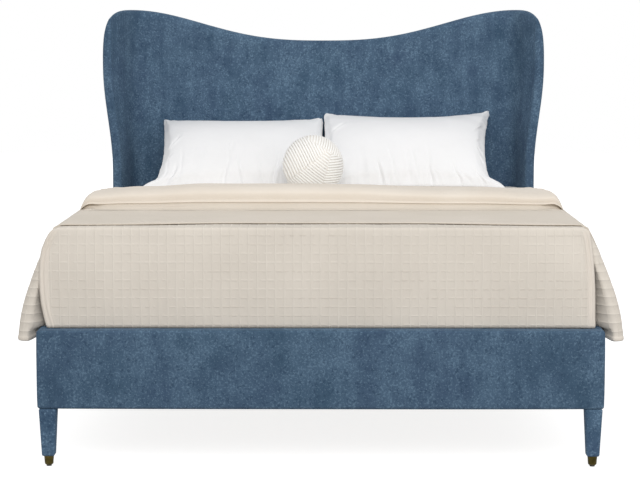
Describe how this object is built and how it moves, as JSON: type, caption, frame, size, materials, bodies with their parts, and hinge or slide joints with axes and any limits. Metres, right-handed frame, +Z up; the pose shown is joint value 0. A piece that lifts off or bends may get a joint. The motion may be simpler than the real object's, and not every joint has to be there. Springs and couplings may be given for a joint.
{
  "type": "upholstered bed",
  "caption": "Made-up queen bed: upholstered winged headboard with a dipped top, padded rails on tapered legs, slatted base, mattress, quilt, pillows and ball cushion.",
  "frame": {"origin": "on the floor under the middle of the bed's overall box", "axes": "+Z up, +Y towards the headboard, +X towards the right side as seen from the foot"},
  "size_m": [1.758, 2.197, 1.342],
  "materials": {
    "velvet_blue": "mottled chenille velvet",
    "plywood": "plain plywood",
    "pine": "planed, unfinished",
    "back_cloth": "black dust cloth over hardboard",
    "dark_brass": "dark antique brass, satin",
    "black_nylon": "matt nylon",
    "zinc_steel": "zinc plated",
    "ticking": "woven ticking",
    "white_cotton": "plain woven cotton",
    "quilt_cotton": "stitched windowpane grid, washed",
    "cream_cotton": "plain woven cotton",
    "pillow_cotton": "plain woven cotton",
    "wound_yarn": "wound yarn in crossing bands"
  },
  "bodies": {
    "frame": {"headboard_padding": "velvet_blue", "headboard_board": "plywood", "headboard_stile_left": "pine", "headboard_stile_right": "pine", "headboard_crossbar_low": "pine", "headboard_crossbar_top": "pine", "headboard_back": "back_cloth", "wing_left": "velvet_blue", "wing_right": "velvet_blue", "wing_board_left": "plywood", "wing_board_right": "plywood", "wing_bolts": "zinc_steel", "side_rail_left": "velvet_blue", "side_rail_right": "velvet_blue", "side_board_left": "pine", "side_board_right": "pine", "foot_rail": "velvet_blue", "foot_board": "pine", "leg_foot_left": "velvet_blue", "leg_foot_right": "velvet_blue", "leg_head_left": "velvet_blue", "leg_head_right": "velvet_blue", "ferrule_foot_left": "dark_brass", "ferrule_foot_right": "dark_brass", "ferrule_head_left": "dark_brass", "ferrule_head_right": "dark_brass", "leg_glides": "black_nylon", "leg_bolts": "zinc_steel", "slat_ledge_left": "pine", "slat_ledge_right": "pine", "centre_beam": "pine", "beam_hangers": "zinc_steel", "centre_leg_front": "pine", "centre_leg_rear": "pine", "corner_brackets": "zinc_steel", "frame_bolts": "zinc_steel", "base_screws": "zinc_steel", "slat_1": "pine", "slat_2": "pine", "slat_3": "pine", "slat_4": "pine", "slat_5": "pine", "slat_6": "pine", "slat_7": "pine", "slat_8": "pine", "slat_9": "pine", "slat_10": "pine", "slat_11": "pine", "slat_12": "pine", "slat_13": "pine"},
    "levelling_foot_front": {"levelling_foot_front": "black_nylon"},
    "levelling_foot_rear": {"levelling_foot_rear": "black_nylon"},
    "bedding": {"mattress": "ticking", "fitted_sheet": "white_cotton", "quilt": "quilt_cotton", "comforter": "cream_cotton"},
    "pillow_left": {"pillow_left": "pillow_cotton"},
    "pillow_right": {"pillow_right": "pillow_cotton"},
    "ball_cushion": {"ball_cushion": "wound_yarn"}
  },
  "joints": [
    {"name": "foot_front_screw", "type": "slide", "parent": "frame", "child": "levelling_foot_front", "axis": [0, 0, -1], "range_m": [0, 0.012]},
    {"name": "foot_rear_screw", "type": "slide", "parent": "frame", "child": "levelling_foot_rear", "axis": [0, 0, -1], "range_m": [0, 0.012]},
    {"name": "bedding_lift", "type": "slide", "parent": "frame", "child": "bedding", "axis": [0, 0, 1], "range_m": [0, 0.3]},
    {"name": "pillow_left_lift", "type": "slide", "parent": "bedding", "child": "pillow_left", "axis": [0, 0, 1], "range_m": [0, 0.4]},
    {"name": "pillow_right_lift", "type": "slide", "parent": "bedding", "child": "pillow_right", "axis": [0, 0, 1], "range_m": [0, 0.4]},
    {"name": "ball_lift", "type": "slide", "parent": "bedding", "child": "ball_cushion", "axis": [0, 0, 1], "range_m": [0, 0.4]}
  ]
}
